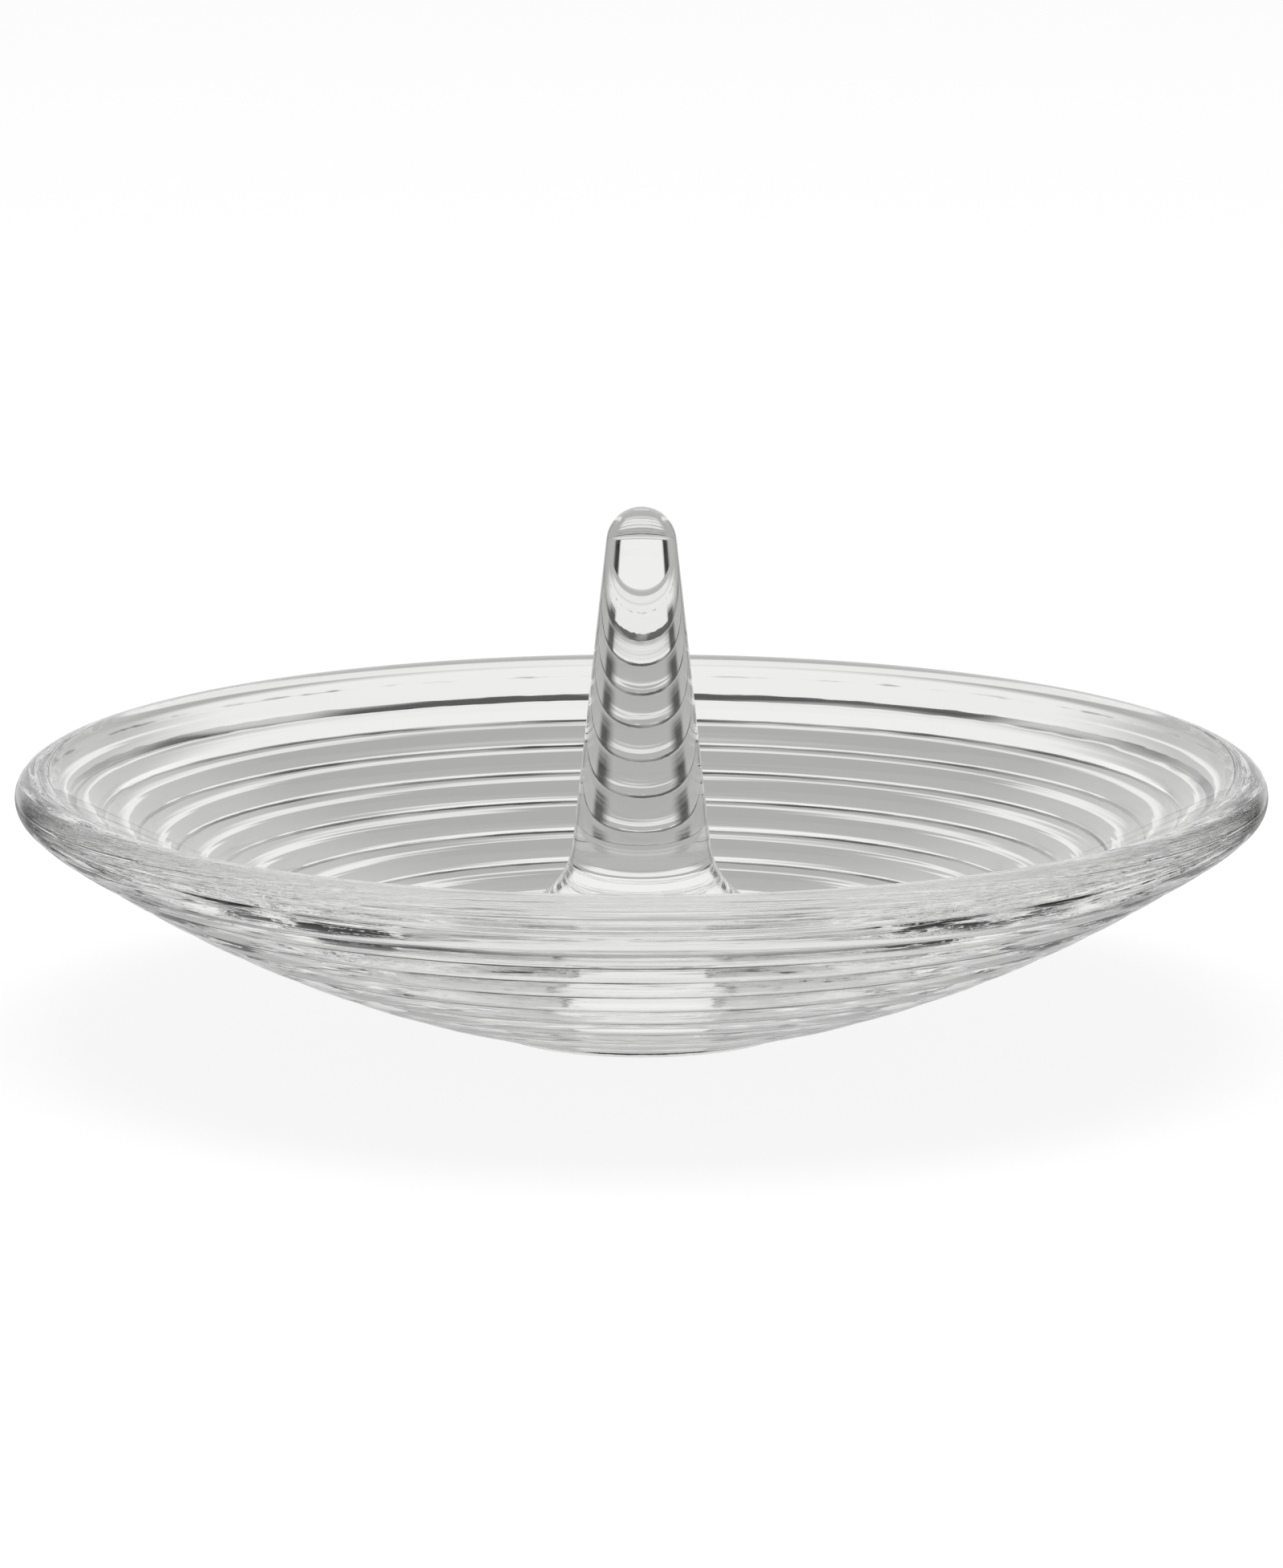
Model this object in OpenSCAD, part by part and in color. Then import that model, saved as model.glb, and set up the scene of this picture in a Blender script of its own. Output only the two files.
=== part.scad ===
// Ring dish: a shallow round glass dish with a banded outside and a
// tapering ring post that rises from the middle of its floor.
// The dish stands on the plane z = 0 and its axis is the Z axis.

/* [Dish] */
// Outside diameter over the rim
dish_d = 130; // [105:1:155]
// Radius of the curve that shapes the smooth hollow
hollow_r = 145; // [130:1:165]
// How far beyond the axis that curve is centred
hollow_offset = 20.7; // [12:0.1:27]
// Radius of the flat middle of the floor, where the post stands
floor_r = 15.4; // [13:0.1:17]
// Glass thickness of that flat middle
floor_t = 6; // [5.2:0.1:8]
// Radius of the rounded rim, half the thickness of its edge
lip_r = 2.35; // [2:0.05:2.8]

/* [Banded outside] */
// Radius of the curve that the grooves lie on
wall_r = 132; // [110:1:170]
// Number of bands between the foot and the first groove under the rim
band_count = 9; // [6:1:12]
// Width of the band nearest the rim as a share of the one nearest the foot
band_taper = 0.52; // [0.45:0.01:1]
// Half the angle that the bulge of the band nearest the foot turns through
foot_bulge = 6.5; // [4:0.1:9]
// Half the angle that the bulge of the band nearest the rim turns through
rim_bulge = 8.4; // [6:0.1:11]
// Glass thickness at the first groove under the rim
groove_wall = 4.75; // [4.3:0.05:5.5]
// Distance along the hollow from the middle of the rim to that groove
lip_band = 3.3; // [2.4:0.1:4]

/* [Foot] */
// Radius of the foot where it meets the lowest band
foot_r = 16.3; // [12:0.1:20]
// Height of the foot below the lowest band
foot_h = 0.6; // [0.5:0.05:1.2]
// Rounding of the foot's edge
foot_round = 0.4; // [0.2:0.05:0.45]

/* [Ring post] */
// Height of the post's tip above the flat middle of the floor
post_rise = 48.6; // [40:0.1:58]
// Radius of the domed tip
tip_r = 3.65; // [3:0.05:4.5]
// Slope of the post's side from the vertical, in degrees
post_slope = 6.25; // [4:0.25:8]
// Height above the floor where the side starts to flare out
flare_rise = 13.3; // [11.5:0.1:16]
// Radius of the upper curve of the flare
flare_r = 8.5; // [6:0.1:10]
// Slope where the upper curve passes into the wide lower one, in degrees
flare_turn = 48; // [40:1:55]
// Slope at the flare's edge on the floor, in degrees
flare_edge = 84; // [74:1:88]

/* [Hidden] */
$fa = 2;
$fs = 0.3;

// Steps of the hollow's wide curve all round, where it is drawn in facets
hollow_steps = 240;

// Working allowance for shapes that run past the surface they are cut by
over = 5;

// How far each band's slice runs on inside its neighbour
lap = 0.25;

// How far the middle of the post's side runs up inside its tip
tip_lap = 0.06;

// How far the foot's disc reaches up into the glass
foot_sunk = 1.5;

// How far the rim's disc reaches into the hollow, so that the two cross cleanly
lip_bite = 0.01;

// Angle at which curves that run into one another cross, in degrees
meet = 1;

// Point that the hollow's curve turns about
hollow_z = floor_t + sqrt(pow(hollow_r, 2) - pow(floor_r + hollow_offset, 2));
hollow_c = [-hollow_offset, hollow_z];

// Point at distance r from the middle of the hollow's curve, at a turn in
// degrees from straight down towards the rim
function from_hollow(r, turn) = hollow_c + r * [sin(turn), -cos(turn)];

// Middle of the rounded rim, which touches the hollow, and where the topmost band meets it
lip_x = dish_d / 2 - lip_r;
lip_reach = hollow_r + lip_r - lip_bite;
lip_turn = asin((lip_x + hollow_offset) / lip_reach);
lip_c = from_hollow(lip_reach, lip_turn);
lip_outside = from_hollow(lip_reach + lip_r, lip_turn);
lip_inside = from_hollow(lip_reach - over, lip_turn);

// First groove under the rim, measured through the glass from the hollow
groove_turn = lip_turn - lip_band / hollow_r * 180 / PI;
rim_groove = from_hollow(hollow_r + groove_wall, groove_turn);
foot_groove = [foot_r, foot_h];

// Point at distance r from both ends of the line from a to b, on its inner side
function arc_middle(a, b, r) =
    let (half = (b - a) / 2, rise = sqrt(r * r - half * half))
    (a + b) / 2 + rise * [-half[1], half[0]] / norm(half);

// Direction from c to p, in degrees from straight down towards the rim
function turn_of(c, p) = atan2(p[0] - c[0], c[1] - p[1]);

// Grooves from the foot to the rim, on one curve, with steadily narrower bands
wall_c = arc_middle(foot_groove, rim_groove, wall_r);
wall_from = turn_of(wall_c, foot_groove);
wall_to = turn_of(wall_c, rim_groove);
function band_share(i) = 1 - (1 - band_taper) * i / (band_count - 1);
function shares_below(i) = i == 0 ? 0 : shares_below(i - 1) + band_share(i - 1);
function groove(i) =
    let (turn = wall_from + (wall_to - wall_from) * shares_below(i) / shares_below(band_count))
    wall_c + wall_r * [sin(turn), -cos(turn)];

// Bulge of band i, which grows steadily from the foot to the rim
function bulge(i) = foot_bulge + (rim_bulge - foot_bulge) * i / (band_count - 1);

// Post: where the tip's dome meets the side, and where the side meets the flare
tip_z = floor_t + post_rise - tip_r;
side_top = [tip_r * cos(post_slope - meet), tip_z + tip_r * sin(post_slope - meet)];
flare_z = floor_t + flare_rise;
side_foot = [side_top[0] + (side_top[1] - flare_z) * tan(post_slope), flare_z];

// Flare: the upper curve, then a wide one that reaches the hollow at flare_edge
upper_c = side_foot + flare_r * [cos(post_slope + meet), sin(post_slope + meet)];
flare_mid = upper_c - flare_r * [cos(flare_turn), sin(flare_turn)];
lower_turn = flare_turn + meet;
spread = [cos(lower_turn) - cos(flare_edge), sin(lower_turn) - sin(flare_edge)];
reach_a = spread * spread;
reach_b = (flare_mid - hollow_c) * spread;
reach_c = pow(norm(flare_mid - hollow_c), 2) - pow(hollow_r, 2);
lower_r = (-reach_b + sqrt(pow(reach_b, 2) - reach_a * reach_c)) / reach_a;
lower_c = flare_mid + lower_r * [cos(lower_turn), sin(lower_turn)];
flare_end = flare_mid + lower_r * spread;

// Outline of the smooth hollow above its flat middle, shared by the dish and
// the post that stands in it
module hollow_outline() {
    intersection() {
        translate(hollow_c) circle(r = hollow_r, $fn = hollow_steps);
        translate([-over, floor_t]) square([dish_d, dish_d]);
    }
}

// One band from groove a to groove b: a slice of a disc that laps a little into
// its neighbours, so that the grooves lie where the discs cross
module band_outline(a, b, turn) {
    r = norm(b - a) / 2 / sin(turn);
    c = arc_middle(a, b, r);
    side_lap = lap * (b - a) / norm(b - a);
    reach = 1 + over / r;
    intersection() {
        translate(c) circle(r = r);
        polygon([c, c + (a - side_lap - c) * reach, c + (b + side_lap - c) * reach]);
    }
}

// Outside of the wall: the bands, the topmost one under the rim, and the glass behind them
module wall_outline() {
    grooves = [for (i = [0:band_count]) groove(i)];
    behind = [for (g = grooves) g + lap * (wall_c - g) / wall_r];
    polygon(concat([[0, foot_h]], behind, [lip_c, lip_inside, [0, lip_c[1]]]));
    for (i = [0:band_count - 1])
        band_outline(grooves[i], grooves[i + 1], bulge(i));
    band_outline(grooves[band_count], lip_outside, rim_bulge);
    translate(lip_c) circle(r = lip_r);
}

// Foot with its edge rounded off, cut flat at z = 0
module foot_outline() {
    translate([foot_r - foot_round, foot_round]) circle(r = foot_round);
    square([foot_r - foot_round, foot_h + foot_sunk]);
    translate([0, foot_round]) square([foot_r, foot_h + foot_sunk - foot_round]);
}

module dish() {
    color([0.86, 0.87, 0.86], 0.6)
    rotate_extrude()
    intersection() {
        difference() {
            union() {
                wall_outline();
                foot_outline();
            }
            hollow_outline();
        }
        square([dish_d, dish_d]);
    }
}

// Side view of the post, half of it, before it is fitted to the hollow
module post_outline() {
    edge = [flare_end[0] + lap, flare_end[1]];
    under_tip = side_top + tip_lap * [-sin(post_slope), cos(post_slope)];
    translate([0, tip_z]) circle(r = tip_r);
    difference() {
        polygon([[0, 0], [edge[0], 0], edge, flare_mid, side_foot, under_tip, [0, under_tip[1]]]);
        translate(upper_c) circle(r = flare_r);
        intersection() {
            translate(lower_c) circle(r = lower_r);
            translate([flare_mid[0], 0]) square([flare_end[0], flare_mid[1] + over]);
        }
    }
}

module ring_post() {
    color([0.80, 0.81, 0.80], 0.6)
    rotate_extrude()
    intersection() {
        post_outline();
        hollow_outline();
        square([dish_d, dish_d]);
    }
}

dish();
ring_post();
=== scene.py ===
"""Ring dish: a shallow clear glass dish with a banded outside and a tapering ring post.

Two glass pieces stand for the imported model's two nodes, and a small photo studio surrounds
them. Lengths are in metres, and the dish's axis is the Z axis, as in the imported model.
"""

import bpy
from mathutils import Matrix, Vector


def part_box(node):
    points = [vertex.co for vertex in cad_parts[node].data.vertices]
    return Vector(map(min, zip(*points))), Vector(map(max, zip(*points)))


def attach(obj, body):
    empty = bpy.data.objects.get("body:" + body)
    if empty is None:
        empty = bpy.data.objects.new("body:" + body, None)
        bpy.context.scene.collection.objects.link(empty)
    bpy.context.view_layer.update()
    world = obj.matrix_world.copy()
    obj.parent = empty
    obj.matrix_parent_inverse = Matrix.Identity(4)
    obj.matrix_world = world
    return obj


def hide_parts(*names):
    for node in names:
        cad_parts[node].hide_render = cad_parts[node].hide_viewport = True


bl_info = {
    "name": "Ring Dish",
    "version": (1, 0, 0),
    "blender": (4, 5, 0),
    "location": "3D View > Sidebar > Ring Dish",
    "description": "Builds a banded glass ring dish and the studio it is seen in",
    "category": "Add Mesh",
}

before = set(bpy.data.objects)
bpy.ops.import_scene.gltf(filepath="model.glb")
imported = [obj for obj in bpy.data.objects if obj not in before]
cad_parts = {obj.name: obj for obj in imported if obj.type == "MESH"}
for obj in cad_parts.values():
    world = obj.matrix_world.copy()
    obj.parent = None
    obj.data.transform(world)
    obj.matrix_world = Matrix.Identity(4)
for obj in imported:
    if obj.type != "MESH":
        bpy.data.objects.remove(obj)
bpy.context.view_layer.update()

import math

import bmesh
import bpy
from bpy.props import FloatProperty, FloatVectorProperty, IntProperty, PointerProperty
from mathutils import Matrix, Vector, noise

POST_LOW, POST_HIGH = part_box("ring_post")

Y_AXIS = (0.0, 1.0, 0.0)
Z_AXIS = (0.0, 0.0, 1.0)

# Steps round the axis, made as one sector that is copied and doubled this many times
ROUND_STEPS = 480
SECTOR_DOUBLINGS = 5

# Length of a step along a band, and the steps along the outlines' other stretches
BAND_STEP = 0.00052
FOOT_STEPS = 6
FOOT_EDGE_STEPS = 4
TOP_BAND_STEPS = 8
LIP_STEPS = (5, 6, 5)
HOLLOW_STEPS = 34
FLOOR_STEPS = 4
JOINT_STEPS = 6
TIP_STEPS = 24
SIDE_STEPS = 24
FLARE_STEPS = 16
SOFT_SEGMENTS = 3

# Vertices closer than this are one, and edges turned further than this stay sharp
WELD = 1e-7
SHARP_EDGE = math.radians(60.0)

# How the faces of the fused joint are told from the rest: how far past the flare's edge and
# under the floor they may lie on the dish, and how much they face down on the post
JOINT_REACH = 1e-6
JOINT_DEPTH = 1e-5
JOINT_FACES_DOWN = -0.5

# Reach of the painted shade in a groove, and of the groove's deeper cut, as a share of the
# groove's softness, and the painted shade of the faint line where the rim's rounding starts
NARROW_CUT = 0.8
WIDE_CUT = 1.7
LIP_LINE = 0.5

# Noise in the outside wall's shape: scale round the axis, scale per metre across it, shift
RIPPLE_NOISE = (1.5, 500.0, 0.0)
WANDER_NOISE = (4.0, 150.0, 7.0)
CUT_NOISE = (14.0, 400.0, 3.0)

# Distance from the foot where the ripples start
RIPPLE_START = 0.0005

# Noise in the glass's material: scale round the axis, spacing across the wall, detail
STREAK_NOISE = (0.45, 0.0012, 1.0)
PATCH_NOISE = (2.2, 0.004, 1.0)
RAGGED_NOISE = (12.0, 0.0012, 2.0)

# How much of the height counts in the distance across the wall
HEIGHT_ACROSS = 0.6

# Height of the streaks along the rings and of the soft waves all over, in metres
STREAK_RELIEF = 0.000030
WAVE_RELIEF = 0.000003
WAVE_SCALE = 90.0

# How the painted dark lines of shade in the grooves get ragged edges and fade in patches
PATCH_FADE = (0.36, 0.6)
RAGGED_FADE = (0.3, 0.62)
RAGGED_SHARE = 0.35
LINE_FADE = (0.1, 0.5)
FAINTEST_LINE = 0.6

GLASS_IOR = 1.52

# Heights above the horizon between which the studio's tones change, in degrees
UNDER_TO_STRIP = (-54.0, -48.0)
STRIP_TO_NEAR = (-36.5, -33.5)
TABLE_TO_ROOM = (-27.0, -21.0)
NEAR_TO_MIDDLE = (-23.0, -20.5)
MIDDLE_TO_FAR = (-19.6, -18.2)
FAR_TO_WALL = (-17.8, -17.2)
WALL_TO_LIGHT = (-10.5, -7.5)
ROOM_TO_CEILING = (10.0, 30.0)
BACKDROP_TO_CEILING = (30.0, 45.0)

# Turns from the middle of the backdrop between which they change, in degrees
BACKDROP_END = (20.0, 31.0)
STRIP_END = (30.0, 45.0)
FLAG_END = (35.0, 42.0)
ROOM_END = (50.0, 75.0)

# White card: its curve, and where its middle, its ends and its slant to the light fade
CARD_RADIUS = 0.080
CARD_HEIGHTS = (0.0115, 0.080)
CARD_SPREAD = math.radians(60.0)
CARD_STEPS = 96
CARD_MIDDLE = (0.033, 0.038)
CARD_ENDS = (0.046, 0.066)
CARD_SLANT = (0.065, 0.095)

# Floor, lamp and camera; the lens is in millimetres
FLOOR_RADIUS = 1.6
FLOOR_SIDES = 96
FLOOR_DROP = 0.0001
FLOOR_PAINT = (0.9, 0.9, 0.9, 1.0)
FLOOR_PAINT_SHARE = 0.12
LAMP_SIZE = 0.8
LAMP_POWER = 12.0
LAMP_PLACE = (0.0, 0.1, 1.2)
SENSOR_WIDTH = 36.0
LENS_LENGTH = 193.4
CAMERA_PLACE = (0.0, -0.8577, 0.2012)
CAMERA_AIM = (0.0, 0.0, 0.0254)

# How often light may turn at the glass
GLASS_BOUNCES = 40
GLOSSY_BOUNCES = 16
CLEAR_BOUNCES = 24


class GlassSizes(bpy.types.PropertyGroup):
    """Sizes of the glass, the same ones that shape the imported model"""

    rim_d: FloatProperty(
        name="Rim diameter",
        description="Outside diameter over the rounded rim",
        default=0.130,
        unit="LENGTH",
    )
    hollow_r: FloatProperty(
        name="Hollow radius",
        description="Radius of the curve that shapes the smooth inside",
        default=0.145,
        unit="LENGTH",
    )
    hollow_offset: FloatProperty(
        name="Hollow offset",
        description="How far beyond the axis that curve is centred",
        default=0.0207,
        unit="LENGTH",
    )
    floor_r: FloatProperty(
        name="Floor radius",
        description="Radius of the flat middle of the floor, under the post",
        default=0.0154,
        unit="LENGTH",
    )
    floor_t: FloatProperty(
        name="Floor thickness",
        description="Glass under the flat middle of the floor",
        default=POST_LOW.z,
        unit="LENGTH",
    )
    lip_r: FloatProperty(
        name="Rim rounding",
        description="Radius of the rounded rim",
        default=0.00235,
        unit="LENGTH",
    )
    wall_r: FloatProperty(
        name="Wall curve",
        description="Radius of the curve that the grooves lie on",
        default=0.132,
        unit="LENGTH",
    )
    band_count: IntProperty(
        name="Bands",
        description="Bands between the foot and the first groove under the rim",
        default=9,
        min=3,
    )
    foot_bulge: FloatProperty(
        name="Lowest bulge",
        description="Half the angle that the bulge of the band nearest the foot turns through",
        default=math.radians(6.5),
        subtype="ANGLE",
    )
    rim_bulge: FloatProperty(
        name="Topmost bulge",
        description="Half the angle that the bulge of the band nearest the rim turns through",
        default=math.radians(8.4),
        subtype="ANGLE",
    )
    band_taper: FloatProperty(
        name="Band taper",
        description="Width of the band nearest the rim as a share of the one nearest the foot",
        default=0.52,
    )
    groove_wall: FloatProperty(
        name="Wall at the groove",
        description="Glass thickness at the first groove under the rim",
        default=0.00475,
        unit="LENGTH",
    )
    lip_band: FloatProperty(
        name="Rim band",
        description="Distance along the hollow from the middle of the rim to that groove",
        default=0.0033,
        unit="LENGTH",
    )
    rim_swell: FloatProperty(
        name="Rim swell",
        description="How far the wall swells out at the first groove under the rim",
        default=0.00022,
        unit="LENGTH",
    )
    groove_soft: FloatProperty(
        name="Groove softness",
        description="How far each groove's bottom is melted round",
        default=0.0003,
        unit="LENGTH",
    )
    groove_depth: FloatProperty(
        name="Groove depth",
        description="How much deeper the tool has cut each groove than where its bands meet",
        default=0.00003,
        unit="LENGTH",
    )
    foot_r: FloatProperty(
        name="Foot radius",
        description="Radius of the foot",
        default=0.0163,
        unit="LENGTH",
    )
    foot_h: FloatProperty(
        name="Foot height",
        description="Height of the foot below the lowest band",
        default=0.0006,
        unit="LENGTH",
    )
    foot_round: FloatProperty(
        name="Foot edge",
        description="Rounding of the foot's edge",
        default=0.0004,
        unit="LENGTH",
    )
    post_top: FloatProperty(
        name="Post height",
        description="Height of the post's tip above the surface that the dish stands on",
        default=POST_HIGH.z,
        unit="LENGTH",
    )
    tip_r: FloatProperty(
        name="Tip radius",
        description="Radius of the post's round tip",
        default=0.00365,
        unit="LENGTH",
    )
    post_slope: FloatProperty(
        name="Post slope",
        description="Slope of the post's side from the vertical",
        default=math.radians(6.25),
        subtype="ANGLE",
    )
    flare_rise: FloatProperty(
        name="Flare height",
        description="Height above the hollow's floor where the side starts to flare",
        default=0.0133,
        unit="LENGTH",
    )
    flare_r: FloatProperty(
        name="Flare curve",
        description="Radius of the upper curve of the flare",
        default=0.0085,
        unit="LENGTH",
    )
    flare_turn: FloatProperty(
        name="Flare turn",
        description="Slope where the upper curve passes into the wide lower one",
        default=math.radians(48.0),
        subtype="ANGLE",
    )
    flare_edge: FloatProperty(
        name="Flare edge",
        description="Slope at the flare's edge on the floor",
        default=math.radians(84.0),
        subtype="ANGLE",
    )
    ripple: FloatProperty(
        name="Ripple",
        description="Height of the long flame-polished ripples in the outside wall",
        default=0.000012,
        unit="LENGTH",
    )
    groove_wander: FloatProperty(
        name="Groove wander",
        description="How far the grooves wander from true rings",
        default=0.000012,
        unit="LENGTH",
    )


class StudioLook(bpy.types.PropertyGroup):
    """Tones of the studio and of the glass"""

    glass_tint: FloatVectorProperty(
        name="Glass tint",
        description="Colour that the clear glass lets through",
        default=(0.985, 0.983, 0.972),
        subtype="COLOR",
        min=0.0,
        max=1.0,
    )
    # Painted shade: the glass's base colour along its grooves and rim line, near black
    groove_painted_shade: FloatVectorProperty(
        name="Groove painted shade",
        description="Colour of the glass in the cut grooves",
        default=(0.004, 0.004, 0.004),
        subtype="COLOR",
        min=0.0,
        max=1.0,
    )
    backdrop: FloatProperty(
        name="Backdrop",
        description="Brightness of the lit backdrop as the glass sees it",
        default=0.94,
    )
    low_wall: FloatProperty(
        name="Low wall",
        description="Brightness of the unlit foot of the backdrop",
        default=0.42,
    )
    table_far: FloatProperty(
        name="Far table",
        description="Brightness of the table's lit far end",
        default=0.84,
    )
    table_mid: FloatProperty(
        name="Middle of the table",
        description="Brightness of the table between its two ends",
        default=0.44,
    )
    table_near: FloatProperty(
        name="Near table",
        description="Brightness of the table close to the dish",
        default=0.43,
    )
    table_strip: FloatProperty(
        name="Strip behind the dish",
        description="Brightness of the lit strip of table just behind the dish",
        default=0.87,
    )
    table_under: FloatProperty(
        name="Table under the dish",
        description="Brightness of the table in the dish's own shade",
        default=0.46,
    )
    card: FloatProperty(
        name="White card",
        description="Brightness of the white card close behind the dish",
        default=0.90,
    )
    card_edge: FloatProperty(
        name="Card edge",
        description="Height where the card's soft lower edge has become solid",
        default=0.0150,
        unit="LENGTH",
    )
    flag: FloatProperty(
        name="Flags",
        description="Brightness of the dark cards at both sides of the backdrop",
        default=0.003,
    )
    room: FloatProperty(
        name="Room",
        description="Brightness of the room beyond the dark cards",
        default=0.45,
    )
    room_near: FloatProperty(
        name="Near room",
        description="Brightness of the room beside and before the dish",
        default=0.66,
    )
    ceiling: FloatProperty(
        name="Ceiling",
        description="Brightness of the room above the dish",
        default=0.50,
    )


class Nodes:
    """Adds nodes to a tree and joins them."""

    def __init__(self, tree):
        self.tree = tree

    def add(self, kind, **values):
        node = self.tree.nodes.new(kind)
        for name, value in values.items():
            setattr(node, name, value)
        return node

    def feed(self, socket, value):
        if isinstance(value, bpy.types.NodeSocket):
            self.tree.links.new(value, socket)
        else:
            socket.default_value = value

    def math(self, operation, a, b=None):
        node = self.add("ShaderNodeMath", operation=operation)
        self.feed(node.inputs[0], a)
        if b is not None:
            self.feed(node.inputs[1], b)
        return node.outputs[0]

    def fade(self, value, low, high):
        """0 below low and 1 above high, with a smooth change between them."""
        node = self.add("ShaderNodeMapRange", interpolation_type="SMOOTHSTEP")
        self.feed(node.inputs["Value"], value)
        node.inputs["From Min"].default_value = low
        node.inputs["From Max"].default_value = high
        return node.outputs["Result"]

    def mix(self, share, a, b):
        node = self.add("ShaderNodeMix", data_type="FLOAT")
        self.feed(node.inputs["Factor"], share)
        self.feed(node.inputs["A"], a)
        self.feed(node.inputs["B"], b)
        return node.outputs["Result"]


def polar(centre, radius, turn):
    """Point at a turn from straight down towards the rim, round a centre in the XZ plane."""
    return Vector((centre.x + radius * math.sin(turn), 0.0, centre.z - radius * math.cos(turn)))


def turn_of(centre, point):
    """Turn of a point round a centre, from straight down towards the rim."""
    return math.atan2(point.x - centre.x, centre.z - point.z)


def arc_middle(a, b, radius):
    """Centre of the arc of this radius from a to b, on the side of the hollow."""
    half = (b - a) / 2
    rise = math.sqrt(radius ** 2 - half.length_squared)
    return (a + b) / 2 + rise * Vector((-half.z, 0.0, half.x)).normalized()


class Outline:
    """A chain of edges in the XZ plane, drawn by carrying its last vertex along."""

    def __init__(self, start):
        self.bm = bmesh.new()
        self.last = self.bm.verts.new(start)
        self.corners = []

    def line(self, point, steps=1):
        """Carries the last vertex straight to a point."""
        move = (Vector(point) - self.last.co) / steps
        for _ in range(steps):
            made = bmesh.ops.extrude_vert_indiv(self.bm, verts=[self.last])
            self.last = made["verts"][0]
            bmesh.ops.translate(self.bm, verts=[self.last], vec=move)

    def arc(self, centre, end, steps):
        """Swings the last vertex round a centre until it lies in the direction of end."""
        turn = turn_of(centre, Vector(end)) - turn_of(centre, self.last.co)
        turn = (turn + math.pi) % (2 * math.pi) - math.pi
        made = bmesh.ops.spin(
            self.bm, geom=[self.last], cent=centre, axis=Y_AXIS, angle=-turn, steps=steps
        )
        self.last = [v for v in made["geom_last"] if isinstance(v, bmesh.types.BMVert)][0]
        self.last.co = Vector(end)

    def corner(self):
        """Remembers the last vertex, to be rounded off."""
        self.corners.append(self.last)

    def joint(self, shape):
        """Follows the face that the dish and the post share, from the flare's edge to the axis."""
        self.arc(shape.hollow_c, shape.floor_edge, FLOOR_STEPS)
        self.line((0.0, 0.0, shape.floor_edge.z), JOINT_STEPS)


class DishShape:
    """Centres and meeting points of the dish's and the post's curves."""

    def __init__(self, sizes):
        s = sizes
        rise = math.sqrt(s.hollow_r ** 2 - (s.floor_r + s.hollow_offset) ** 2)
        self.hollow_c = Vector((-s.hollow_offset, 0.0, s.floor_t + rise))
        self.floor_edge = Vector((s.floor_r, 0.0, s.floor_t))
        lip_x = s.rim_d / 2 - s.lip_r
        reach = s.hollow_r + s.lip_r
        self.lip_turn = math.asin((lip_x + s.hollow_offset) / reach)
        self.lip_c = polar(self.hollow_c, reach, self.lip_turn)
        self.lip_outside = polar(self.lip_c, s.lip_r, self.lip_turn)
        self.lip_inside = polar(self.hollow_c, s.hollow_r, self.lip_turn)
        self.foot_groove = Vector((s.foot_r, 0.0, s.foot_h))
        groove_turn = self.lip_turn - s.lip_band / s.hollow_r
        rim_groove = polar(self.hollow_c, s.hollow_r + s.groove_wall, groove_turn)
        wall_c = arc_middle(self.foot_groove, rim_groove, s.wall_r)
        start = turn_of(wall_c, self.foot_groove)
        sweep = turn_of(wall_c, rim_groove) - start
        shares = [1 - (1 - s.band_taper) * i / (s.band_count - 1) for i in range(s.band_count)]
        below = [sum(shares[:i]) / sum(shares) for i in range(s.band_count + 1)]
        self.grooves = [polar(wall_c, s.wall_r, start + sweep * share) for share in below]
        self.grooves[-1] = polar(wall_c, s.wall_r + s.rim_swell, start + sweep)
        growth = (s.rim_bulge - s.foot_bulge) / (s.band_count - 1)
        self.bulges = [s.foot_bulge + growth * i for i in range(s.band_count)]

        side_way, mid_way, edge_way = (
            Vector((math.cos(slope), 0.0, math.sin(slope)))
            for slope in (s.post_slope, s.flare_turn, s.flare_edge)
        )
        self.tip_c = Vector((0.0, 0.0, s.post_top - s.tip_r))
        self.side_top = self.tip_c + s.tip_r * side_way
        flare_z = s.floor_t + s.flare_rise
        taper = (self.side_top.z - flare_z) * math.tan(s.post_slope)
        self.side_foot = Vector((self.side_top.x + taper, 0.0, flare_z))
        self.upper_c = self.side_foot + s.flare_r * side_way
        self.flare_mid = self.upper_c - s.flare_r * mid_way
        # The lower curve's radius is the one with which it ends on the hollow at flare_edge
        spread = mid_way - edge_way
        from_c = self.flare_mid - self.hollow_c
        a = spread.length_squared
        b = from_c.dot(spread)
        c = from_c.length_squared - s.hollow_r ** 2
        lower_r = (-b + math.sqrt(b * b - a * c)) / a
        self.lower_c = self.flare_mid + lower_r * mid_way
        self.flare_end = self.flare_mid + lower_r * spread


def band_middle(a, b, turn):
    """Centre of a band's bulge, which turns through twice this angle between its grooves."""
    return arc_middle(a, b, (b - a).length / 2 / math.sin(turn))


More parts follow.
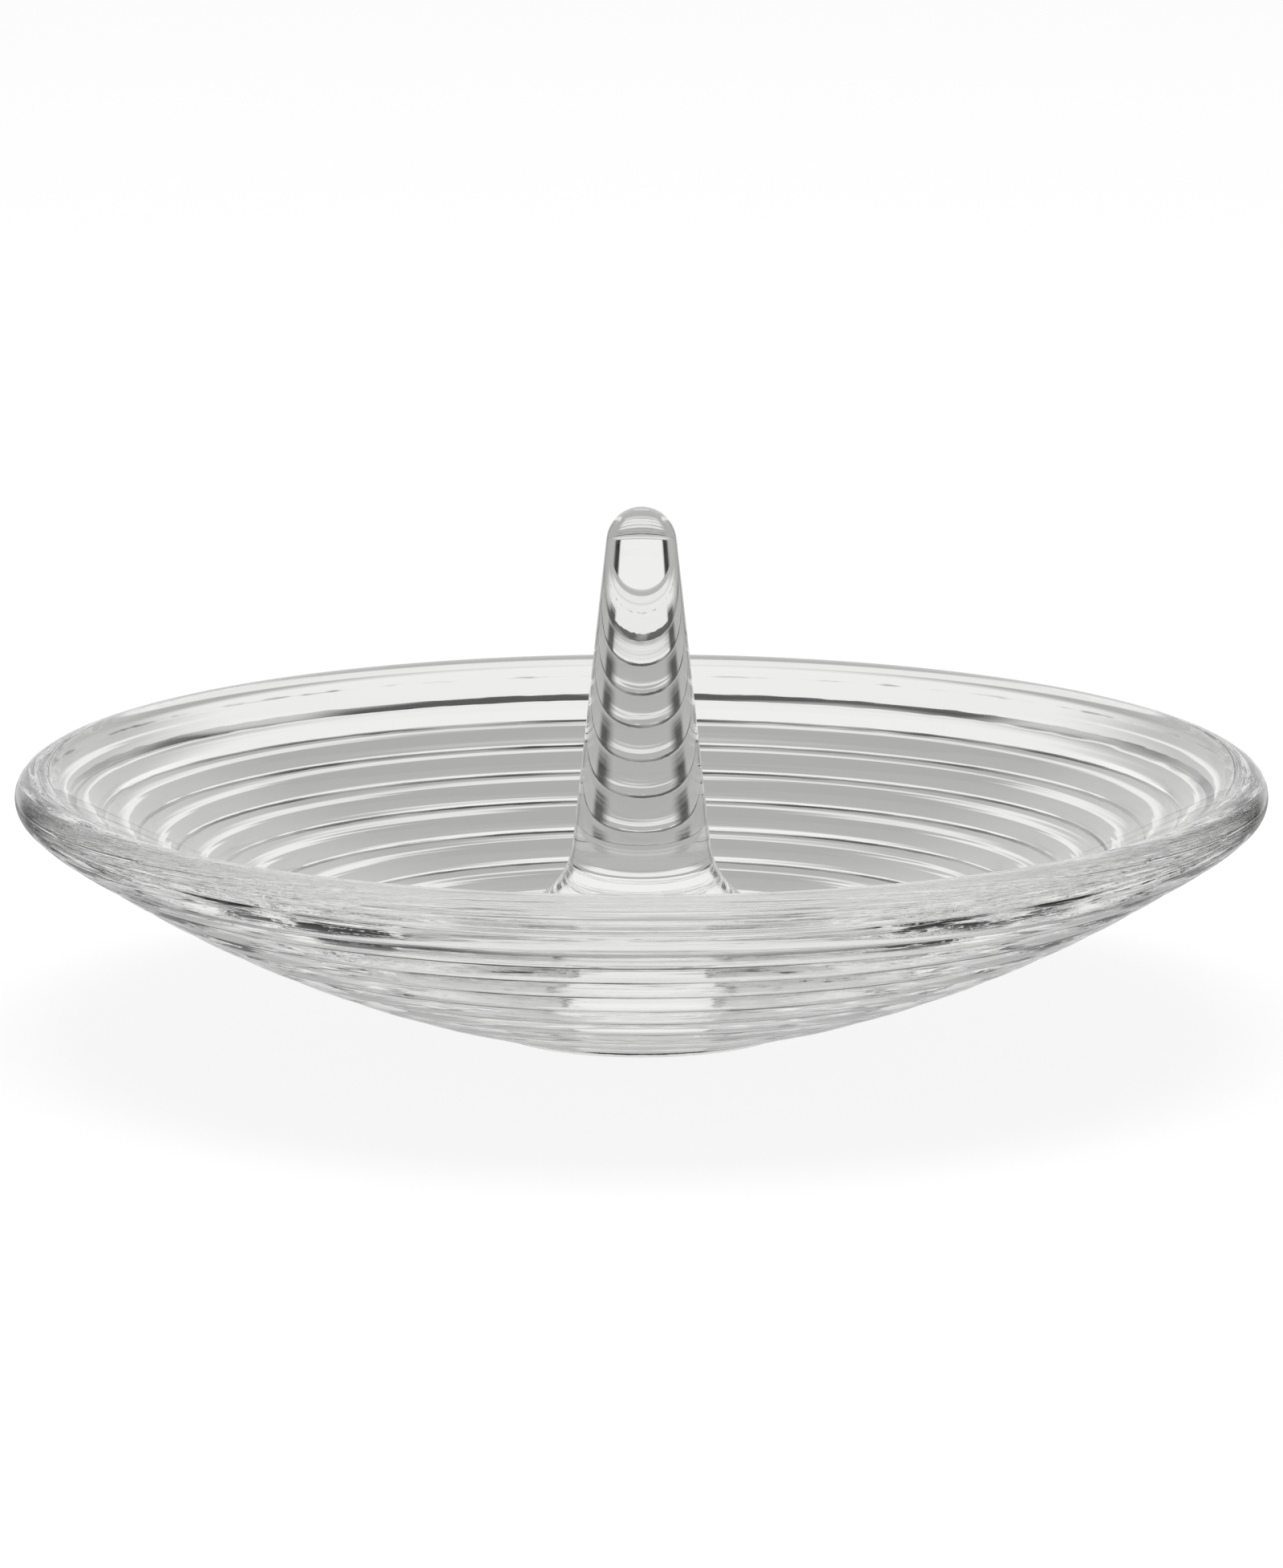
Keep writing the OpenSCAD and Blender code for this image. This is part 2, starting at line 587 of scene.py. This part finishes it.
def spun(outline):
    """Spins an outline about the Z axis into a closed skin, one sector first and then copies."""
    bm = outline.bm
    bmesh.ops.remove_doubles(bm, verts=bm.verts, dist=WELD)
    sectors = 2 ** SECTOR_DOUBLINGS
    bmesh.ops.spin(
        bm,
        geom=bm.verts[:] + bm.edges[:],
        cent=(0.0, 0.0, 0.0),
        axis=Z_AXIS,
        angle=2 * math.pi / sectors,
        steps=ROUND_STEPS // sectors,
    )
    turn = 2 * math.pi / sectors
    for _ in range(SECTOR_DOUBLINGS):
        made = bmesh.ops.duplicate(bm, geom=bm.verts[:] + bm.edges[:] + bm.faces[:])
        copied = [g for g in made["geom"] if isinstance(g, bmesh.types.BMVert)]
        turned = Matrix.Rotation(turn, 3, "Z")
        bmesh.ops.rotate(bm, verts=copied, cent=(0.0, 0.0, 0.0), matrix=turned)
        turn *= 2
    bmesh.ops.remove_doubles(bm, verts=bm.verts, dist=WELD)
    bmesh.ops.recalc_face_normals(bm, faces=bm.faces)
    return bm


def placed(bm, name, *materials):
    """Makes an object of the mesh, at the origin, with these materials."""
    mesh = bpy.data.meshes.new(name)
    bm.to_mesh(mesh)
    bm.free()
    for material in materials:
        mesh.materials.append(material)
    made = bpy.data.objects.new(name, mesh)
    bpy.context.scene.collection.objects.link(made)
    return made


def finished(bm, name, node, look):
    """Makes a glass piece, rides it on the body and lets it stand for its node."""
    piece = placed(bm, name, clear_glass(look), fused_joint())
    piece.data.shade_smooth()
    piece.data.set_sharp_from_angle(angle=SHARP_EDGE)
    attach(piece, "root")
    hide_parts(node)


def relief_and_painted_groove_shade():
    """Node group: the relief of hand-worked glass and the painted shade along its cut grooves."""
    tree = bpy.data.node_groups.get("glass_relief_and_painted_groove_shade")
    if tree:
        return tree
    tree = bpy.data.node_groups.new("glass_relief_and_painted_groove_shade", "ShaderNodeTree")
    tree.interface.new_socket("Relief", in_out="OUTPUT", socket_type="NodeSocketFloat")
    tree.interface.new_socket("Groove shade", in_out="OUTPUT", socket_type="NodeSocketFloat")
    n = Nodes(tree)
    ends = n.add("NodeGroupOutput")
    place = n.add("ShaderNodeTexCoord").outputs["Object"]
    split = n.add("ShaderNodeSeparateXYZ")
    n.feed(split.inputs[0], place)
    x, y, z = split.outputs
    flat = n.add("ShaderNodeCombineXYZ")
    n.feed(flat.inputs[0], x)
    n.feed(flat.inputs[1], y)
    radius = n.add("ShaderNodeVectorMath", operation="LENGTH")
    n.feed(radius.inputs[0], flat.outputs[0])
    along = n.add("ShaderNodeVectorMath", operation="NORMALIZE")
    n.feed(along.inputs[0], flat.outputs[0])
    across = n.math("ADD", radius.outputs["Value"], n.math("MULTIPLY", z, HEIGHT_ACROSS))

    def ringwise(turns, spacing, detail):
        """Noise drawn out along the rings: slow round the axis and fast across the wall."""
        spread = n.add("ShaderNodeVectorMath", operation="SCALE")
        n.feed(spread.inputs[0], along.outputs[0])
        spread.inputs["Scale"].default_value = turns
        lifted = n.add("ShaderNodeCombineXYZ")
        n.feed(lifted.inputs[2], n.math("MULTIPLY", across, 1 / spacing))
        joined = n.add("ShaderNodeVectorMath", operation="ADD")
        n.feed(joined.inputs[0], spread.outputs[0])
        n.feed(joined.inputs[1], lifted.outputs[0])
        cloud = n.add("ShaderNodeTexNoise")
        cloud.inputs["Scale"].default_value = 1.0
        cloud.inputs["Detail"].default_value = detail
        n.feed(cloud.inputs["Vector"], joined.outputs[0])
        return cloud.outputs["Fac"]

    wall = n.add("ShaderNodeAttribute", attribute_name="wall").outputs["Fac"]
    groove = n.add("ShaderNodeAttribute", attribute_name="groove").outputs["Fac"]
    streaks = n.math("MULTIPLY", ringwise(*STREAK_NOISE), STREAK_RELIEF)
    waves = n.add("ShaderNodeTexNoise")
    waves.inputs["Scale"].default_value = WAVE_SCALE
    waves.inputs["Detail"].default_value = 0.0
    n.feed(waves.inputs["Vector"], place)
    relief = n.math("MULTIPLY", waves.outputs["Fac"], WAVE_RELIEF)
    relief = n.math("ADD", relief, n.math("MULTIPLY", wall, streaks))
    n.feed(ends.inputs["Relief"], relief)
    # The groove shade is painted shade: dark lines on the marked grooves, ragged and patchy
    patches = n.fade(ringwise(*PATCH_NOISE), *PATCH_FADE)
    ragged = n.fade(ringwise(*RAGGED_NOISE), *RAGGED_FADE)
    edge = n.math("SUBTRACT", groove, n.math("MULTIPLY", ragged, RAGGED_SHARE))
    line = n.fade(edge, *LINE_FADE)
    strength = n.math("MULTIPLY", patches, 1.0 - FAINTEST_LINE)
    strength = n.math("ADD", strength, FAINTEST_LINE)
    n.feed(ends.inputs["Groove shade"], n.math("MULTIPLY", line, strength))
    return tree


def clear_glass(look):
    """Clear fire-polished glass, with painted shade along its grooves."""
    material = bpy.data.materials.get("clear_glass_polished")
    if material:
        return material
    material = bpy.data.materials.new("clear_glass_polished")
    material.use_nodes = True
    tree = material.node_tree
    shader = tree.nodes["Principled BSDF"]
    n = Nodes(tree)
    surface = n.add("ShaderNodeGroup", node_tree=relief_and_painted_groove_shade())
    # Painted shade: the base colour turns near black along the grooves and the rim line
    tint = n.add("ShaderNodeMix", data_type="RGBA")
    n.feed(tint.inputs["Factor"], surface.outputs["Groove shade"])
    tint.inputs["A"].default_value = (*look.glass_tint, 1.0)
    tint.inputs["B"].default_value = (*look.groove_painted_shade, 1.0)
    bump = n.add("ShaderNodeBump")
    bump.inputs["Distance"].default_value = 1.0
    n.feed(bump.inputs["Height"], surface.outputs["Relief"])
    n.feed(shader.inputs["Base Color"], tint.outputs["Result"])
    n.feed(shader.inputs["Normal"], bump.outputs["Normal"])
    shader.inputs["Transmission Weight"].default_value = 1.0
    shader.inputs["Roughness"].default_value = 0.0
    shader.inputs["IOR"].default_value = GLASS_IOR
    return material


def fused_joint():
    """The joint inside the glass, which has melted away and shows nothing."""
    material = bpy.data.materials.get("fused_joint")
    if material:
        return material
    material = bpy.data.materials.new("fused_joint")
    material.use_nodes = True
    shader = material.node_tree.nodes["Principled BSDF"]
    shader.inputs["Alpha"].default_value = 0.0
    return material


class RINGDISH_OT_dish(bpy.types.Operator):
    """Spin the banded glass dish"""

    bl_idname = "ringdish.dish"
    bl_label = "Dish"

    def execute(self, context):
        s = context.scene.ring_dish
        shape = DishShape(s)
        edge_c = Vector((s.foot_r - s.foot_round, 0.0, s.foot_round))
        outline = Outline((0.0, 0.0, 0.0))
        outline.line((edge_c.x, 0.0, 0.0), FOOT_STEPS)
        outline.arc(edge_c, (s.foot_r, 0.0, s.foot_round), FOOT_EDGE_STEPS)
        outline.line(shape.foot_groove)
        outline.corner()
        for low, high, turn in zip(shape.grooves, shape.grooves[1:], shape.bulges):
            steps = round((high - low).length / BAND_STEP)
            outline.arc(band_middle(low, high, turn), high, steps)
            outline.corner()
        low, high = shape.grooves[-1], shape.lip_outside
        outline.arc(band_middle(low, high, s.rim_bulge), high, TOP_BAND_STEPS)
        widest = shape.lip_c + Vector((s.lip_r, 0.0, 0.0))
        top = shape.lip_c + Vector((0.0, 0.0, s.lip_r))
        for point, steps in zip((widest, top, shape.lip_inside), LIP_STEPS):
            outline.arc(shape.lip_c, point, steps)
        outline.arc(shape.hollow_c, shape.flare_end, HOLLOW_STEPS)
        outline.joint(shape)
        bmesh.ops.bevel(
            outline.bm,
            geom=outline.corners,
            offset=s.groove_soft,
            segments=SOFT_SEGMENTS,
            profile=0.5,
            affect="VERTICES",
            material=-1,
        )
        painted(outline.bm, s, shape)
        bm = spun(outline)
        ripple(bm, s, shape)
        joint_r = shape.flare_end.x + JOINT_REACH
        for face in bm.faces:
            middle = face.calc_center_median()
            inside = math.hypot(middle.x, middle.y) < joint_r
            if inside and middle.z > s.floor_t - JOINT_DEPTH:
                face.material_index = 1
        finished(bm, "dish_glass", "dish", context.scene.ring_dish_studio)
        return {"FINISHED"}


def painted(bm, s, shape):
    """Marks the worked outside wall, and its grooves and rim line, where the glass paints shade.
    """
    wall = bm.verts.layers.float.new("wall")
    groove = bm.verts.layers.float.new("groove")
    for vert in bm.verts:
        outside = (vert.co - shape.hollow_c).length > s.hollow_r + s.lip_r
        vert[wall] = float(outside and vert.co.x > s.foot_r - WELD)
        vert[groove] = 0.0
        # Groove marks carry the painted shade and set the grooves' deeper cut
        for point in shape.grooves:
            reach = WIDE_CUT if point is shape.grooves[-1] else NARROW_CUT
            if (vert.co - point).length < s.groove_soft * reach:
                vert[groove] = 1.0
        # The line where the rim's rounding starts gets a fainter painted shade, and no cut
        if (vert.co - shape.lip_outside).length < s.groove_soft:
            vert[groove] = LIP_LINE


def wall_noise(along, r, turns, across, shift):
    """Noise that changes slowly round the axis and fast across the wall."""
    return noise.noise(Vector((along.x * turns, along.y * turns, r * across + shift)))


def ripple(bm, s, shape):
    """Gives the outside wall the shallow ripples and wandering grooves of hand-worked glass."""
    groove = bm.verts.layers.float["groove"]
    for vert in bm.verts:
        co = vert.co
        flat = Vector((co.x, co.y, 0.0))
        r = flat.length
        if r < s.foot_r + RIPPLE_START or co.z > shape.lip_c.z - s.lip_r:
            continue
        along = flat.normalized()
        out = co - Vector((0.0, 0.0, shape.hollow_c.z)) + along * s.hollow_offset
        if out.length < s.hollow_r + s.lip_r:
            continue
        way = out.normalized()
        streak = wall_noise(along, r, *RIPPLE_NOISE)
        wander = wall_noise(along, r, *WANDER_NOISE)
        cut = wall_noise(along, r, *CUT_NOISE)
        depth = vert[groove] * s.groove_depth * (1.0 + cut)
        vert.co = co + way * (streak * s.ripple + wander * s.groove_wander - depth)


class RINGDISH_OT_post(bpy.types.Operator):
    """Spin the tapering ring post that is fused onto the dish"""

    bl_idname = "ringdish.post"
    bl_label = "Ring post"

    def execute(self, context):
        s = context.scene.ring_dish
        shape = DishShape(s)
        outline = Outline((0.0, 0.0, s.post_top))
        outline.arc(shape.tip_c, shape.side_top, TIP_STEPS)
        outline.line(shape.side_foot, SIDE_STEPS)
        outline.arc(shape.upper_c, shape.flare_mid, FLARE_STEPS)
        outline.arc(shape.lower_c, shape.flare_end, FLARE_STEPS)
        outline.joint(shape)
        bm = spun(outline)
        for face in bm.faces:
            if face.normal.z < JOINT_FACES_DOWN:
                face.material_index = 1
        finished(bm, "post_glass", "ring_post", context.scene.ring_dish_studio)
        return {"FINISHED"}


def studio_world(look):
    """White to the camera, and to the glass a lit backdrop and table between dark cards."""
    world = bpy.data.worlds.new("studio")
    bpy.context.scene.world = world
    world.use_nodes = True
    n = Nodes(world.node_tree)
    background = world.node_tree.nodes["Background"]
    way = n.add("ShaderNodeTexCoord").outputs["Generated"]
    split = n.add("ShaderNodeSeparateXYZ")
    n.feed(split.inputs[0], way)
    x, y, z = split.outputs
    degrees = math.degrees(1.0)
    height = n.math("MULTIPLY", n.math("ARCSINE", z), degrees)
    side = n.math("MULTIPLY", n.math("ABSOLUTE", n.math("ARCTAN2", x, y)), degrees)
    # The table, with a lit strip close behind the dish and a lit far end, and the low wall
    strip = n.mix(n.fade(side, *STRIP_END), look.table_strip, look.table_near)
    table = n.mix(n.fade(height, *UNDER_TO_STRIP), look.table_under, strip)
    table = n.mix(n.fade(height, *STRIP_TO_NEAR), table, look.table_near)
    table = n.mix(n.fade(height, *NEAR_TO_MIDDLE), table, look.table_mid)
    table = n.mix(n.fade(height, *MIDDLE_TO_FAR), table, look.table_far)
    low = n.mix(n.fade(height, *FAR_TO_WALL), table, look.low_wall)
    # The lit backdrop, and the ceiling above it
    back = n.mix(n.fade(height, *WALL_TO_LIGHT), low, look.backdrop)
    back = n.mix(n.fade(height, *BACKDROP_TO_CEILING), back, look.ceiling)
    # The dark cards at both sides, and the rest of the room
    away = n.mix(n.fade(side, *FLAG_END), look.flag, look.room)
    away = n.mix(n.fade(height, *TABLE_TO_ROOM), table, away)
    near = n.mix(n.fade(height, *WALL_TO_LIGHT), low, look.room_near)
    away = n.mix(n.fade(side, *ROOM_END), away, near)
    away = n.mix(n.fade(height, *ROOM_TO_CEILING), away, look.ceiling)
    tone = n.mix(n.fade(side, *BACKDROP_END), back, away)
    ray = n.add("ShaderNodeLightPath")
    tone = n.mix(ray.outputs["Is Camera Ray"], tone, 1.0)
    n.feed(background.inputs["Color"], tone)


def glowing(name, brightness):
    """A material that glows; gives it, its nodes and the mix of another shader and the glow."""
    material = bpy.data.materials.new(name)
    material.use_nodes = True
    tree = material.node_tree
    tree.nodes.remove(tree.nodes["Principled BSDF"])
    n = Nodes(tree)
    glow = n.add("ShaderNodeEmission")
    glow.inputs["Strength"].default_value = brightness
    share = n.add("ShaderNodeMixShader")
    n.feed(share.inputs[2], glow.outputs[0])
    n.feed(tree.nodes["Material Output"].inputs["Surface"], share.outputs[0])
    return material, n, share


def white_card(look):
    """A curved white card close behind the dish, met only by light through the glass."""
    low, high = CARD_HEIGHTS
    bm = bmesh.new()
    foot = bm.verts.new((0.0, CARD_RADIUS, low))
    made = bmesh.ops.extrude_vert_indiv(bm, verts=[foot])
    bmesh.ops.translate(bm, verts=made["verts"], vec=(0.0, 0.0, high - low))
    bmesh.ops.rotate(bm, verts=bm.verts, matrix=Matrix.Rotation(-CARD_SPREAD, 3, "Z"))
    bmesh.ops.spin(
        bm,
        geom=bm.verts[:] + bm.edges[:],
        cent=(0.0, 0.0, 0.0),
        axis=Z_AXIS,
        angle=2 * CARD_SPREAD,
        steps=CARD_STEPS,
    )
    material, n, share = glowing("white_card", look.card)
    split = n.add("ShaderNodeSeparateXYZ")
    n.feed(split.inputs[0], n.add("ShaderNodeTexCoord").outputs["Object"])
    # Only its middle is white to light that comes straight out from the post
    slant = n.add("ShaderNodeLayerWeight")
    slant.inputs["Blend"].default_value = 0.5
    offside = n.math("ABSOLUTE", split.outputs[0])
    aside = n.fade(offside, *CARD_MIDDLE)
    from_post = n.math("SUBTRACT", 1.0, n.fade(slant.outputs["Facing"], *CARD_SLANT))
    solid = n.math("SUBTRACT", 1.0, n.math("MULTIPLY", aside, from_post))
    solid = n.math("MULTIPLY", solid, n.fade(split.outputs[2], low, look.card_edge))
    solid = n.math("MULTIPLY", solid, n.math("SUBTRACT", 1.0, n.fade(offside, *CARD_ENDS)))
    n.feed(share.inputs["Fac"], solid)
    n.feed(share.inputs[1], n.add("ShaderNodeBsdfTransparent").outputs[0])
    card = placed(bm, "white_card", material)
    card.visible_camera = False
    card.visible_diffuse = False
    card.visible_glossy = False
    card.visible_shadow = False


def pale_floor():
    """The floor, which glows white but for a thin coat of paint that shows the dish's shadow."""
    bm = bmesh.new()
    bmesh.ops.create_circle(bm, cap_ends=True, segments=FLOOR_SIDES, radius=FLOOR_RADIUS)
    bmesh.ops.translate(bm, verts=bm.verts, vec=(0.0, 0.0, -FLOOR_DROP))
    material, n, share = glowing("pale_floor", 1.0)
    paint = n.add("ShaderNodeBsdfDiffuse")
    paint.inputs["Color"].default_value = FLOOR_PAINT
    share.inputs["Fac"].default_value = 1.0 - FLOOR_PAINT_SHARE
    n.feed(share.inputs[1], paint.outputs[0])
    floor = placed(bm, "studio_floor", material)
    floor.visible_transmission = False
    floor.visible_glossy = False


def overhead_lamp():
    """A wide soft lamp above the dish, for the shadow on the floor."""
    lamp = bpy.data.lights.new("overhead", "AREA")
    lamp.size = LAMP_SIZE
    lamp.energy = LAMP_POWER
    overhead = bpy.data.objects.new("overhead", lamp)
    overhead.location = LAMP_PLACE
    overhead.visible_transmission = False
    overhead.visible_glossy = False
    bpy.context.scene.collection.objects.link(overhead)


def photo_camera():
    """The camera, at the photo's height and distance."""
    lens = bpy.data.cameras.new("camera")
    lens.sensor_width = SENSOR_WIDTH
    lens.lens = LENS_LENGTH
    camera = bpy.data.objects.new("camera", lens)
    camera.location = CAMERA_PLACE
    aim = Vector(CAMERA_AIM) - camera.location
    camera.rotation_euler = aim.to_track_quat("-Z", "Y").to_euler()
    bpy.context.scene.collection.objects.link(camera)
    bpy.context.scene.camera = camera


class RINGDISH_OT_studio(bpy.types.Operator):
    """Set up the floor, the light and the camera"""

    bl_idname = "ringdish.studio"
    bl_label = "Studio"

    def execute(self, context):
        scene = context.scene
        studio_world(scene.ring_dish_studio)
        pale_floor()
        white_card(scene.ring_dish_studio)
        overhead_lamp()
        photo_camera()
        scene.view_settings.view_transform = "Standard"
        scene.cycles.max_bounces = GLASS_BOUNCES
        scene.cycles.transmission_bounces = GLASS_BOUNCES
        scene.cycles.glossy_bounces = GLOSSY_BOUNCES
        scene.cycles.transparent_max_bounces = CLEAR_BOUNCES
        return {"FINISHED"}


class RINGDISH_PT_panel(bpy.types.Panel):
    """Lists the sizes and the steps that build the dish"""

    bl_idname = "RINGDISH_PT_panel"
    bl_label = "Ring Dish"
    bl_space_type = "VIEW_3D"
    bl_region_type = "UI"
    bl_category = "Ring Dish"

    def draw(self, context):
        for step in OPERATORS:
            self.layout.operator(step.bl_idname)
        for group in (context.scene.ring_dish, context.scene.ring_dish_studio):
            column = self.layout.column()
            for name in group.__annotations__:
                column.prop(group, name)


OPERATORS = (RINGDISH_OT_dish, RINGDISH_OT_post, RINGDISH_OT_studio)
CLASSES = (GlassSizes, StudioLook, *OPERATORS, RINGDISH_PT_panel)


def register():
    for cls in CLASSES:
        bpy.utils.register_class(cls)
    bpy.types.Scene.ring_dish = PointerProperty(type=GlassSizes)
    bpy.types.Scene.ring_dish_studio = PointerProperty(type=StudioLook)


def unregister():
    del bpy.types.Scene.ring_dish_studio
    del bpy.types.Scene.ring_dish
    for cls in reversed(CLASSES):
        bpy.utils.unregister_class(cls)


def main():
    register()
    bpy.ops.ringdish.dish()
    bpy.ops.ringdish.post()
    bpy.ops.ringdish.studio()


if __name__ == "__main__":
    main()
